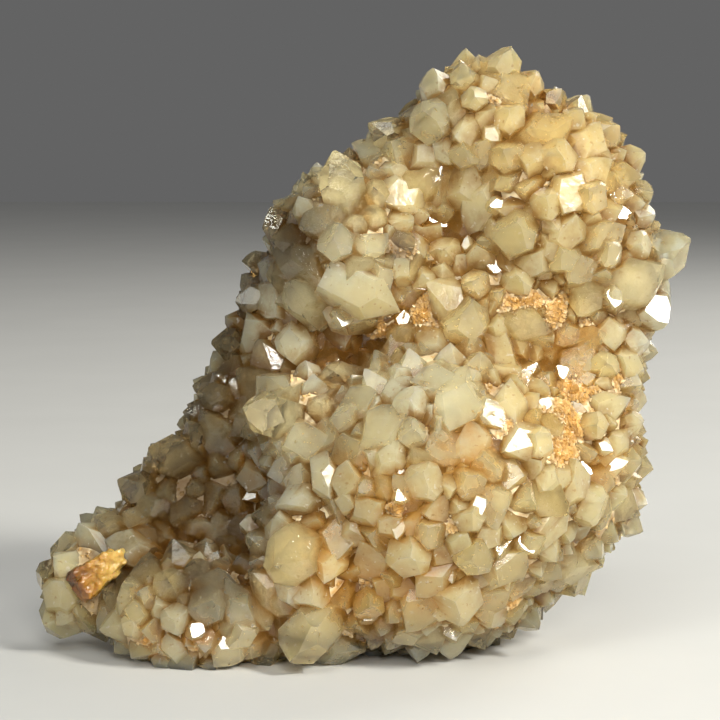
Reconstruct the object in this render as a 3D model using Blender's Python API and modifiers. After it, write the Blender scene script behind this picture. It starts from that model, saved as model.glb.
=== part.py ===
"""A druse of stubby milky quartz crystals on a lumpy, iron-stained rock, with one crested barite crystal.

The stone stands on a flat cut under its front lobe and its left foot. It was modelled from one photograph,
so the crystals that can be told apart there are listed one by one, and the rest are scattered by rule.
"""

import math
import random
from collections import namedtuple

import bmesh
import bpy
from mathutils import Matrix, Vector
from mathutils.bvhtree import BVHTree

MM = 0.001

# Driving dimensions. One photograph pixel spans PIXEL on the upright plane through the stone's middle.
PIXEL = 0.15 * MM
PHOTO_MIDDLE_X = 360
PHOTO_BASE_Y = 655
VIEWPOINT = Vector((0.0, -398.0, 86.0)) * MM

MILKY_CREAM = (0.62, 0.52, 0.36)
QUARTZ_ROUGHNESS = 0.3
OCHRE = (0.47, 0.27, 0.06)
BARITE_ROUGHNESS = 0.45

VOXEL = 1.6 * MM
SOFTENING_ROUNDS = 8
CORE_DETAIL = 0.035
KEPT_DETAIL = 0.6
SIDE_REACH = 40

PRISM_SIDES = 6
PRISM_FLATTENING = (0.82, 1.0)
TIP_SLOPE = math.radians(51.8)
LARGE_FACE_DROP = (0.02, 0.22)
SMALL_FACE_DROP = (0.0, 0.05)
ROOT_PER_WIDTH = 0.9
FILL_SEED = 1404
FILL_TRIES = 9000
CROWDING = 0.73
FRONT_WIDTH = (5.8 * MM, 8.0 * MM)
FRONT_LENGTH_PER_WIDTH = (0.45, 0.75)
BACK_WIDTH = (9.5 * MM, 12.5 * MM)
BACK_LENGTH_PER_WIDTH = (0.40, 0.58)
FILL_LEAN = 0.34
LOWEST_FOOT = -1.0 * MM
RIM_FACING = -0.4

BASE_CUT = Vector((140.0, 100.0, 40.0)) * MM
SEAT_GAP = 0.3 * MM

# The rock's lumps: place and half sizes along X, Y and Z, in millimetres
Lump = namedtuple("Lump", "x y z half_x half_y half_z")
LUMPS = [
    Lump(13, -4, 27, 20.5, 17, 19.5),
    Lump(18, 0, 12, 9, 11, 8.5),
    Lump(-2, 5, 6, 10, 11, 8),
    Lump(12, 10, 6, 12, 10, 8),
    Lump(-11, 0, 8, 8, 11, 8),
    Lump(18, 8, 50, 18, 13, 16),
    Lump(27, 7, 67, 13.5, 13, 15),
    Lump(18, 6, 79, 9.5, 9.5, 8.5),
    Lump(7, 7, 69.5, 7, 9, 8.5),
    Lump(-1, 3, 60, 11, 11, 12),
    Lump(37.5, 6, 57, 7, 9, 9),
    Lump(36, 6, 45, 6, 9, 9),
    Lump(33, 4, 31, 8, 13, 16),
    Lump(28, 4, 18, 8, 11, 9),
    Lump(-9, 11, 46, 9, 10, 13),
    Lump(-16, 11, 32, 9, 11, 12),
    Lump(-25, 9, 20, 9, 11, 10),
    Lump(-35, 5, 13, 7, 9, 7),
    Lump(-24, -5, 7, 13, 10, 8),
    Lump(-41, 2, 10, 5.5, 7, 6),
    Lump(-13, 7, 20, 12, 9, 18),
    Lump(-6, -5, 14, 9.5, 11, 13),
    Lump(9, -5.5, 13.5, 14, 11, 10.5),
    Lump(-7, -1, 33, 8, 10, 10),
    Lump(-1, 10, 43, 7, 9, 8),
]

# Crystals that the photograph shows: pixels of the tip and of the foot, then width and length in millimetres
Seen = namedtuple("Seen", "tip_x tip_y foot_x foot_y width length")
TOP_CRYSTALS = [
    Seen(508, 49, 497, 80, 6.3, 6.5),
    Seen(462, 64, 464, 90, 5.0, 5.0),
    Seen(431, 71, 438, 98, 5.5, 5.0),
    Seen(423, 116, 436, 126, 7.5, 6.5),
    Seen(472, 96, 474, 104, 4.5, 5.0),
    Seen(368, 125, 398, 142, 6.0, 5.5),
    Seen(536, 72, 522, 96, 5.0, 5.0),
    Seen(562, 90, 545, 113, 5.0, 5.0),
    Seen(581, 110, 565, 130, 5.0, 5.0),
    Seen(617, 128, 594, 142, 5.0, 5.0),
    Seen(644, 154, 616, 166, 5.3, 5.0),
    Seen(651, 192, 624, 196, 5.0, 5.0),
    Seen(655, 214, 628, 218, 5.0, 5.0),
]
UPPER_CRYSTALS = [
    Seen(334, 152, 346, 200, 8.0, 8.0),
    Seen(372, 187, 378, 200, 5.0, 5.0),
    Seen(269, 207, 287, 240, 5.0, 6.0),
    Seen(298, 198, 310, 222, 4.5, 5.0),
    Seen(242, 262, 275, 266, 5.0, 5.5),
    Seen(236, 300, 264, 300, 5.0, 5.0),
    Seen(288, 280, 314, 302, 7.5, 7.0),
    Seen(294, 366, 303, 336, 8.0, 7.0),
    Seen(333, 236, 338, 246, 6.0, 6.0),
    Seen(443, 247, 445, 255, 5.7, 5.5),
    Seen(512, 224, 516, 236, 7.5, 6.5),
    Seen(516, 277, 517, 284, 5.5, 5.0),
    Seen(475, 280, 476, 287, 5.0, 5.0),
    Seen(579, 316, 590, 288, 6.0, 6.0),
    Seen(560, 249, 561, 256, 6.0, 5.0),
    Seen(641, 242, 634, 248, 5.0, 5.0),
    Seen(687, 238, 648, 262, 8.0, 7.5),
    Seen(669, 322, 642, 304, 7.0, 6.0),
    Seen(440, 205, 444, 218, 5.0, 5.5),
    Seen(420, 272, 424, 284, 4.5, 5.0),
    Seen(607, 246, 606, 258, 5.0, 5.0),
    Seen(614, 288, 612, 300, 4.5, 4.5),
    Seen(503, 148, 508, 160, 6.0, 5.5),
    Seen(462, 146, 466, 158, 6.0, 5.5),
    Seen(556, 150, 556, 162, 6.5, 5.5),
    Seen(590, 190, 588, 200, 6.0, 5.5),
    Seen(545, 198, 546, 208, 5.5, 5.0),
]
LOWER_CRYSTALS = [
    Seen(468, 300, 462, 330, 8.5, 7.0),
    Seen(400, 328, 404, 342, 6.0, 6.0),
    Seen(336, 372, 342, 385, 6.5, 6.0),
    Seen(513, 413, 497, 360, 6.8, 9.0),
    Seen(461, 442, 460, 405, 8.2, 8.0),
    Seen(410, 398, 413, 408, 5.7, 5.5),
    Seen(411, 430, 413, 438, 5.3, 5.0),
    Seen(424, 476, 426, 486, 6.7, 6.0),
    Seen(469, 478, 470, 486, 6.0, 4.5),
    Seen(470, 514, 470, 522, 5.3, 5.0),
    Seen(431, 530, 430, 536, 5.7, 5.0),
    Seen(409, 560, 410, 554, 7.5, 6.5),
    Seen(475, 562, 475, 556, 6.7, 6.0),
    Seen(456, 608, 458, 596, 9.0, 7.0),
    Seen(345, 412, 348, 424, 5.0, 5.5),
    Seen(332, 499, 328, 466, 6.8, 7.0),
    Seen(245, 415, 292, 425, 9.0, 8.0),
    Seen(270, 568, 298, 556, 9.5, 8.0),
    Seen(286, 664, 318, 625, 9.0, 8.5),
    Seen(240, 527, 264, 530, 4.5, 5.0),
    Seen(367, 612, 370, 604, 5.5, 5.5),
    Seen(608, 505, 580, 506, 6.8, 7.0),
    Seen(531, 536, 530, 546, 5.0, 5.0),
    Seen(536, 436, 536, 448, 5.5, 5.5),
    Seen(607, 365, 602, 368, 5.0, 5.0),
    Seen(595, 425, 592, 428, 5.0, 5.0),
    Seen(542, 634, 520, 612, 5.0, 5.0),
    Seen(543, 586, 538, 580, 5.0, 4.5),
    Seen(603, 562, 584, 545, 5.0, 5.0),
    Seen(649, 340, 626, 342, 4.8, 4.5),
    Seen(642, 381, 620, 382, 4.8, 4.5),
    Seen(645, 425, 622, 426, 4.8, 4.5),
    Seen(641, 462, 618, 462, 4.8, 4.5),
    Seen(648, 506, 624, 500, 4.8, 4.5),
    Seen(646, 532, 622, 522, 4.8, 4.5),
]
FOOT_CRYSTALS = [
    Seen(211, 342, 246, 346, 6.0, 6.0),
    Seen(197, 393, 228, 400, 5.5, 5.5),
    Seen(186, 422, 206, 450, 6.0, 6.0),
    Seen(149, 449, 190, 463, 7.5, 7.5),
    Seen(117, 482, 150, 496, 6.0, 6.0),
    Seen(92, 519, 120, 535, 5.5, 5.0),
    Seen(61, 534, 68, 556, 6.0, 5.0),
    Seen(39, 580, 54, 578, 6.0, 5.0),
    Seen(41, 628, 66, 616, 8.0, 6.5),
    Seen(243, 556, 212, 546, 5.0, 6.0),
    Seen(168, 584, 170, 592, 6.0, 5.0),
    Seen(206, 604, 206, 612, 6.5, 5.5),
    Seen(130, 626, 134, 630, 4.5, 4.0),
    Seen(240, 634, 238, 640, 6.0, 5.5),
    Seen(174, 624, 176, 622, 5.5, 4.5),
]

# The barite: pixels of its two ends, then its plates across it, in millimetres
BARITE_BACK_END = (66, 597)
BARITE_CREST_END = (116, 562)
BARITE_STAND = 3.2 * MM
BARITE_ROOM = 6.5 * MM
PLATE_HEIGHT = 5.0 * MM
PLATE_THICKNESS = 1.1 * MM
PLATE_PITCH = 0.85 * MM
PLATE_LENGTHS = (7.2 * MM, 9.0 * MM, 8.0 * MM, 9.6 * MM, 8.2 * MM)
PLATE_FAN = math.radians(2.5)
PLATE_CORNER = 0.32
PLATE_SHIFTS = (0.0, 0.30 * MM, -0.22 * MM, 0.12 * MM, -0.35 * MM)


def clear_scene():
    """Take away whatever the file holds."""
    for thing in list(bpy.data.objects):
        bpy.data.objects.remove(thing, do_unlink=True)


def new_collection(name, guide=False):
    """Link a collection into the scene; guides do not render."""
    collection = bpy.data.collections.new(name)
    bpy.context.scene.collection.children.link(collection)
    collection.hide_render = guide
    return collection


def new_object(name, shape, collection, guide=False):
    """Put a bmesh into an object of its own."""
    mesh = bpy.data.meshes.new(name)
    shape.to_mesh(mesh)
    shape.free()
    thing = bpy.data.objects.new(name, mesh)
    collection.objects.link(thing)
    thing.hide_render = guide
    if guide:
        thing.display_type = "WIRE"
    return thing


def stone(name, colour, roughness):
    """A plain surface of one mineral."""
    material = bpy.data.materials.new(name)
    material.use_nodes = True
    surface = material.node_tree.nodes["Principled BSDF"]
    surface.inputs["Base Color"].default_value = (*colour, 1.0)
    surface.inputs["Roughness"].default_value = roughness
    surface.inputs["Metallic"].default_value = 0.0
    material.diffuse_color = (*colour, 1.0)
    return material


def settled_mesh(thing):
    """The object's mesh with its modifiers worked in."""
    depsgraph = bpy.context.evaluated_depsgraph_get()
    return bpy.data.meshes.new_from_object(thing.evaluated_get(depsgraph))


def fuse_lumps(guides):
    """The rock's skin: overlapping balls, fused and softened."""
    shape = bmesh.new()
    for lump in LUMPS:
        half_sizes = Matrix.Diagonal((lump.half_x * MM, lump.half_y * MM, lump.half_z * MM, 1.0))
        place = Matrix.Translation(Vector((lump.x, lump.y, lump.z)) * MM)
        bmesh.ops.create_icosphere(shape, subdivisions=4, radius=1.0, matrix=place @ half_sizes)
    skin = new_object("rock_skin", shape, guides, guide=True)
    fuse = skin.modifiers.new("fuse", "REMESH")
    fuse.mode = "VOXEL"
    fuse.voxel_size = VOXEL
    soften = skin.modifiers.new("soften", "SMOOTH")
    soften.iterations = SOFTENING_ROUNDS
    skin.data = settled_mesh(skin)
    skin.modifiers.clear()
    return skin


def photo_point(x, y):
    """Where a photograph pixel lies on the upright plane through the stone's middle."""
    return Vector(((x - PHOTO_MIDDLE_X) * PIXEL, 0.0, (PHOTO_BASE_Y - y) * PIXEL))


def seat_at(tree, x, y):
    """The point of the rock seen at a pixel, or the nearest one beside that line of sight."""
    sight = (photo_point(x, y) - VIEWPOINT).normalized()
    hit, _, _, _ = tree.ray_cast(VIEWPOINT, sight)
    if hit is not None:
        return hit
    steps = range(-SIDE_REACH, SIDE_REACH + 1)
    beside = [VIEWPOINT + sight * (VIEWPOINT.length + step * MM) for step in steps]
    found = [tree.find_nearest(point) for point in beside]
    return min(found, key=lambda near: near[3])[0]


def tip_over(foot, tip_x, tip_y, length):
    """The tip seen at a pixel, as far from the foot as the crystal is long, and on the viewer's side."""
    sight = (photo_point(tip_x, tip_y) - VIEWPOINT).normalized()
    along = (foot - VIEWPOINT).dot(sight)
    beside = VIEWPOINT + sight * along
    sideways = (beside - foot).length
    reach = math.sqrt(max(0.0, length * length - sideways * sideways))
    return beside - sight * reach


Growth = namedtuple("Growth", "foot direction width length")


def seen_growths(tree):
    """The crystals that the photograph shows, set on the rock."""
    growths = []
    for row in TOP_CRYSTALS + UPPER_CRYSTALS + LOWER_CRYSTALS + FOOT_CRYSTALS:
        foot = seat_at(tree, row.foot_x, row.foot_y)
        tip = tip_over(foot, row.tip_x, row.tip_y, row.length * MM)
        reach = tip - foot
        growths.append(Growth(foot, reach.normalized(), row.width * MM, reach.length))
    return growths


def barite_place(tree):
    """The barite's frame: +X along its length to the crest, +Z across its plates, +Y away from the viewer."""
    back_end = photo_point(*BARITE_BACK_END)
    crest_end = photo_point(*BARITE_CREST_END)
    along = (crest_end - back_end).normalized()
    middle_x = (BARITE_BACK_END[0] + BARITE_CREST_END[0]) / 2.0
    middle_y = (BARITE_BACK_END[1] + BARITE_CREST_END[1]) / 2.0
    seat = seat_at(tree, middle_x, middle_y)
    sight = (seat - VIEWPOINT).normalized()
    across = sight.cross(along).normalized() * -1.0
    away = across.cross(along)
    turn = Matrix((along, away, across)).transposed().to_4x4()
    return Matrix.Translation(seat - sight * BARITE_STAND) @ turn


def scattered_growths(skin, taken, barite_seat, rng):
    """Crystals over the rest of the rock, as close as their widths let them stand."""
    skin.data.calc_loop_triangles()
    corners = [vertex.co for vertex in skin.data.vertices]
    triangles = list(skin.data.loop_triangles)
    areas = [triangle.area for triangle in triangles]
    growths = []
    for triangle in rng.choices(triangles, weights=areas, k=FILL_TRIES):
        side_a, side_b = sorted((rng.random(), rng.random()))
        first, second, third = (corners[index] for index in triangle.vertices)
        foot = first * side_a + second * (side_b - side_a) + third * (1.0 - side_b)
        facing = (VIEWPOINT - foot).normalized().dot(triangle.normal)
        front = facing > RIM_FACING
        width = rng.uniform(*(FRONT_WIDTH if front else BACK_WIDTH))
        length = width * rng.uniform(*(FRONT_LENGTH_PER_WIDTH if front else BACK_LENGTH_PER_WIDTH))
        lean = Vector([rng.uniform(-FILL_LEAN, FILL_LEAN) for _ in range(3)])
        crowded = any(
            (foot - other.foot).length < CROWDING * (width + other.width) / 2.0 for other in taken + growths
        )
        if crowded or foot.z < LOWEST_FOOT or (foot - barite_seat).length < BARITE_ROOM:
            continue
        growths.append(Growth(foot, (triangle.normal + lean).normalized(), width, length))
    return growths


def crystal_shape(width, length, rng):
    """A six-sided prism under six sloping tip faces, no two alike. Its foot is at the origin, its tip up +Z."""
    root = ROOT_PER_WIDTH * width
    shape = bmesh.new()
    bmesh.ops.create_cone(
        shape, cap_ends=True, segments=PRISM_SIDES, radius1=width / 2, radius2=width / 2, depth=length + root
    )
    bmesh.ops.translate(shape, verts=shape.verts, vec=(0.0, 0.0, (length - root) / 2.0))
    bmesh.ops.scale(shape, verts=shape.verts, vec=(1.0, rng.uniform(*PRISM_FLATTENING), 1.0))
    for side in range(PRISM_SIDES):
        angle = math.radians(60.0 * side + 30.0)
        slope = Vector((math.sin(TIP_SLOPE) * math.cos(angle), math.sin(TIP_SLOPE) * math.sin(angle), 0.0))
        slope.z = math.cos(TIP_SLOPE)
        drop = rng.uniform(*(SMALL_FACE_DROP if side % 2 else LARGE_FACE_DROP))
        start = Vector((0.0, 0.0, length - drop * width))
        everything = shape.verts[:] + shape.edges[:] + shape.faces[:]
        cut = bmesh.ops.bisect_plane(shape, geom=everything, plane_co=start, plane_no=slope, clear_outer=True)
        rim = [part for part in cut["geom_cut"] if isinstance(part, bmesh.types.BMEdge)]
        if rim:
            bmesh.ops.edgenet_fill(shape, edges=rim)
    bmesh.ops.recalc_face_normals(shape, faces=shape.faces)
    return shape


def grow_druse(skin, tree, barite_seat):
    """All crystals, each in its place, as guides for the union with the rock."""
    rng = random.Random(FILL_SEED)
    growths = seen_growths(tree)
    growths += scattered_growths(skin, growths, barite_seat, rng)
    druse = new_collection("crystals", guide=True)
    for number, growth in enumerate(growths):
        turn = Matrix.Rotation(rng.uniform(0.0, math.tau), 4, "Z")
        stand = growth.direction.to_track_quat("Z", "Y").to_matrix().to_4x4()
        shape = crystal_shape(growth.width, growth.length, rng)
        bmesh.ops.transform(shape, matrix=Matrix.Translation(growth.foot) @ stand @ turn, verts=shape.verts)
        new_object("crystal_%03d" % number, shape, druse, guide=True)
    print("crystals", len(growths))
    return druse


def plate_shape(length, grow):
    """One barite plate: a flat tablet with cut corners, its long side along +X, grown by a margin all round."""
    shape = bmesh.new()
    half = Vector((length / 2.0 + grow, PLATE_HEIGHT / 2.0 + grow, PLATE_THICKNESS / 2.0 + grow))
    bmesh.ops.create_cube(shape, size=2.0, matrix=Matrix.Diagonal((half.x, half.y, half.z, 1.0)))
    upright = [edge for edge in shape.edges if abs((edge.verts[0].co - edge.verts[1].co).z) > half.z]
    bmesh.ops.bevel(shape, geom=upright, offset=PLATE_CORNER * PLATE_HEIGHT, segments=1, affect="EDGES")
    return shape


def boolean(thing, name, operation, other, solver="EXACT"):
    """Join or cut an object with another object, or with all the objects of a collection."""
    step = thing.modifiers.new(name, "BOOLEAN")
    step.operation = operation
    step.solver = solver
    if isinstance(other, bpy.types.Collection):
        step.operand_type = "COLLECTION"
        step.collection = other
    else:
        step.object = other


def placed_plates(place, grow):
    """Five plates side by side, fanned a little, so that their uneven ends make the crest."""
    middle = (len(PLATE_LENGTHS) - 1) / 2.0
    plates = []
    for number, (length, shift_y) in enumerate(zip(PLATE_LENGTHS, PLATE_SHIFTS)):
        plate = plate_shape(length, grow)
        step = number - middle
        fan = Matrix.Rotation(step * PLATE_FAN, 4, "Y")
        shift = Matrix.Translation(((length - PLATE_LENGTHS[0]) / 2.0, shift_y, step * PLATE_PITCH))
        bmesh.ops.transform(plate, matrix=place @ shift @ fan, verts=plate.verts)
        plates.append(plate)
    return plates


def barite_crest(place, parts):
    """The barite crystal: its plates grown into one."""
    plates = new_collection("plates", guide=True)
    first, *others = placed_plates(place, 0.0)
    crest = new_object("barite_crest", first, parts)
    crest.data.materials.append(stone("ochre_barite", OCHRE, BARITE_ROUGHNESS))
    for number, plate in enumerate(others):
        new_object("plate_%d" % number, plate, plates, guide=True)
    boolean(crest, "plates", "UNION", plates)


def barite_pocket(place, guides):
    """The pocket that the barite sits in: the hull of its plates, a seat gap wider all round."""
    pocket = bmesh.new()
    for plate in placed_plates(place, SEAT_GAP):
        mesh = bpy.data.meshes.new("plate")
        plate.to_mesh(mesh)
        plate.free()
        pocket.from_mesh(mesh)
        bpy.data.meshes.remove(mesh)
    hull = bmesh.ops.convex_hull(pocket, input=pocket.verts)
    spare = set(hull["geom_interior"]) | set(hull["geom_unused"]) | set(hull["geom_holes"])
    inside = [part for part in spare if isinstance(part, bmesh.types.BMVert)]
    bmesh.ops.delete(pocket, geom=inside, context="VERTS")
    skin_faces = {part for part in hull["geom"] if isinstance(part, bmesh.types.BMFace)}
    leftover = [face for face in pocket.faces if face not in skin_faces]
    bmesh.ops.delete(pocket, geom=leftover, context="FACES_ONLY")
    loose = [edge for edge in pocket.edges if not edge.link_faces]
    bmesh.ops.delete(pocket, geom=loose, context="EDGES")
    return new_object("barite_pocket", pocket, guides, guide=True)


def flat_base(guides):
    """The block that cuts the stone off flat at the height it rests on."""
    below = bmesh.new()
    drop = Matrix.Translation((0.0, 0.0, -BASE_CUT.z / 2.0))
    bmesh.ops.create_cube(below, size=1.0, matrix=drop @ Matrix.Diagonal((*BASE_CUT, 1.0)))
    return new_object("below_base", below, guides, guide=True)


def quartz_druse(skin, crystals, guides, place, parts):
    """The rock and its crystals in one solid, cut off flat below and let in for the barite."""
    druse = bpy.data.objects.new("quartz_druse", skin.data.copy())
    parts.objects.link(druse)
    druse.data.materials.append(stone("milky_quartz", MILKY_CREAM, QUARTZ_ROUGHNESS))
    coarsen = druse.modifiers.new("coarsen", "DECIMATE")
    coarsen.ratio = CORE_DETAIL
    boolean(druse, "crystals", "UNION", crystals)
    thin = druse.modifiers.new("thin_out_short_edges", "DECIMATE")
    thin.ratio = KEPT_DETAIL
    # The thinned skin meets itself in places, which only the manifold solver cuts cleanly
    boolean(druse, "flat_base", "DIFFERENCE", flat_base(guides), solver="MANIFOLD")
    boolean(druse, "barite_pocket", "DIFFERENCE", barite_pocket(place, guides), solver="MANIFOLD")


def main():
    clear_scene()
    parts = new_collection("crested_barite_on_quartz")
    guides = new_collection("guides", guide=True)
    skin = fuse_lumps(guides)
    tree = BVHTree.FromObject(skin, bpy.context.evaluated_depsgraph_get())
    place = barite_place(tree)
    crystals = grow_druse(skin, tree, place.translation)
    quartz_druse(skin, crystals, guides, place, parts)
    barite_crest(place, parts)


main()
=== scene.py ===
# %% [markdown]
# # A druse of quartz with one crested barite
#
# The real object is a lumpy rock, coated all over with short quartz crystals, that stands on a flat cut. One
# ochre barite crystal sits on its low left foot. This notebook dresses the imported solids: it grows the same
# crystals again, finer and closer, fuses them, and gives rock, quartz and barite their looks.

import math
import random
from collections import namedtuple

import bmesh
import bpy
import numpy as np
from mathutils import Matrix, Vector
from mathutils import noise as mathutils_noise
from mathutils.bvhtree import BVHTree


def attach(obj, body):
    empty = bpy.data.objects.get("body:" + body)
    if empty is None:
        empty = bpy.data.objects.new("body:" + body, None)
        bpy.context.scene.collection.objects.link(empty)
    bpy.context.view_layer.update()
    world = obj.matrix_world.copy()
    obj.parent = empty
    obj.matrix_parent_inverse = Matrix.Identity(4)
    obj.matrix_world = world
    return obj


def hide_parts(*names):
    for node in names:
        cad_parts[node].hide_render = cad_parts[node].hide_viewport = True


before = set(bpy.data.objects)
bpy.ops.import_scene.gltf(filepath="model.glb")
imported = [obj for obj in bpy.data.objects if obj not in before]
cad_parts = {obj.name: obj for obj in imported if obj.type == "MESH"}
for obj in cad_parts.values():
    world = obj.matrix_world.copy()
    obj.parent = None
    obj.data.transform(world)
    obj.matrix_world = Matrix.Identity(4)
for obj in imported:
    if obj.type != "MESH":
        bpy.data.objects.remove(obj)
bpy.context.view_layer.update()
print("solids", sorted(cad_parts))

# %% [markdown]
# ## Where things are seen
#
# Every crystal that can be told apart is placed by the pixel it is seen at. A pixel is 0.15 mm on the upright
# plane through the stone's middle, and a line of sight from the camera through that point finds the rock. So
# a crystal always sits on the rock, whatever side it is looked at from.

# %% Camera and lines of sight
MM = 0.001
PIXEL = 0.15 * MM
PHOTO_SIDE = 720
PHOTO_MIDDLE_X = 360
PHOTO_BASE_Y = 655
VIEWPOINT = Vector((0.0, -398.0, 86.0)) * MM
SENSOR = 36.0


def photo_point(x, y):
    """Where a photograph pixel lies on the upright plane through the stone's middle."""
    return Vector(((x - PHOTO_MIDDLE_X) * PIXEL, 0.0, (PHOTO_BASE_Y - y) * PIXEL))


def aim(thing, target):
    """Turn a camera or a light to face a point."""
    thing.rotation_euler = (target - thing.location).to_track_quat("-Z", "Y").to_euler()


stone_middle = photo_point(PHOTO_SIDE / 2, PHOTO_SIDE / 2)
camera = bpy.data.objects.new("camera", bpy.data.cameras.new("camera"))
bpy.context.scene.collection.objects.link(camera)
camera.location = VIEWPOINT
aim(camera, stone_middle)
camera.data.sensor_width = SENSOR
camera.data.lens = SENSOR * (VIEWPOINT - stone_middle).length / (PHOTO_SIDE * PIXEL)
camera.data.clip_start = 0.01
bpy.context.scene.camera = camera
print("lens", round(camera.data.lens, 1), "mm")

# %% [markdown]
# ## The rock
#
# Under the crystals is a rock of rounded lobes. Overlapping balls, fused by a voxel remesh and softened, give
# the same skin that the solids were made on. A noise then roughens it, and a cut makes the flat it rests on.

# %% The rock's skin
Lump = namedtuple("Lump", "x y z half_x half_y half_z")
LUMPS = [
    Lump(13, -4, 27, 20.5, 17, 19.5),
    Lump(18, 0, 12, 9, 11, 8.5),
    Lump(-2, 5, 6, 10, 11, 8),
    Lump(12, 10, 6, 12, 10, 8),
    Lump(-11, 0, 8, 8, 11, 8),
    Lump(18, 8, 50, 18, 13, 16),
    Lump(27, 7, 67, 13.5, 13, 15),
    Lump(18, 6, 79, 9.5, 9.5, 8.5),
    Lump(7, 7, 69.5, 7, 9, 8.5),
    Lump(-1, 3, 60, 11, 11, 12),
    Lump(37.5, 6, 57, 7, 9, 9),
    Lump(36, 6, 45, 6, 9, 9),
    Lump(33, 4, 31, 8, 13, 16),
    Lump(28, 4, 18, 8, 11, 9),
    Lump(-9, 11, 46, 9, 10, 13),
    Lump(-16, 11, 32, 9, 11, 12),
    Lump(-25, 9, 20, 9, 11, 10),
    Lump(-35, 5, 13, 7, 9, 7),
    Lump(-24, -5, 7, 13, 10, 8),
    Lump(-41, 2, 10, 5.5, 7, 6),
    Lump(-13, 7, 20, 12, 9, 18),
    Lump(-6, -5, 14, 9.5, 11, 13),
    Lump(9, -5.5, 13.5, 14, 11, 10.5),
    Lump(-7, -1, 33, 8, 10, 10),
    Lump(-1, 10, 43, 7, 9, 8),
]
VOXEL = 1.6 * MM
SOFTENING_ROUNDS = 8


def settled_mesh(thing):
    """The object's mesh with its modifiers worked in."""
    depsgraph = bpy.context.evaluated_depsgraph_get()
    depsgraph.update()
    return bpy.data.meshes.new_from_object(thing.evaluated_get(depsgraph))


def new_piece(name, mesh):
    """A mesh object in the scene, at the origin."""
    piece = bpy.data.objects.new(name, mesh)
    bpy.context.scene.collection.objects.link(piece)
    return piece


def apply_modifiers(piece):
    """Work an object's modifiers into a plain mesh."""
    old = piece.data
    piece.data = settled_mesh(piece)
    piece.modifiers.clear()
    bpy.data.meshes.remove(old)


ball_shape = bmesh.new()
for lump in LUMPS:
    half_sizes = Matrix.Diagonal((lump.half_x * MM, lump.half_y * MM, lump.half_z * MM, 1.0))
    lump_place = Matrix.Translation(Vector((lump.x, lump.y, lump.z)) * MM)
    bmesh.ops.create_icosphere(ball_shape, subdivisions=4, radius=1.0, matrix=lump_place @ half_sizes)
skin_mesh = bpy.data.meshes.new("rock_skin")
ball_shape.to_mesh(skin_mesh)
ball_shape.free()
rock = new_piece("stained_rock", skin_mesh)
fuse = rock.modifiers.new("fuse", "REMESH")
fuse.mode = "VOXEL"
fuse.voxel_size = VOXEL
soften = rock.modifiers.new("soften", "SMOOTH")
soften.iterations = SOFTENING_ROUNDS
apply_modifiers(rock)
rock.data.calc_loop_triangles()
skin_tree = BVHTree.FromObject(rock, bpy.context.evaluated_depsgraph_get())
print("rock skin faces", len(rock.data.polygons))

# %% [markdown]
# ## Where the crystals stand
#
# A crystal is told by its tip, its axis and its width. The ones seen in the photograph come from a list of
# pixels: where the tip is seen and where the foot is seen. The rest are thrown at random on the skin and kept
# only where their widths leave them room, large ones first, then small ones in the gaps.

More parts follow.
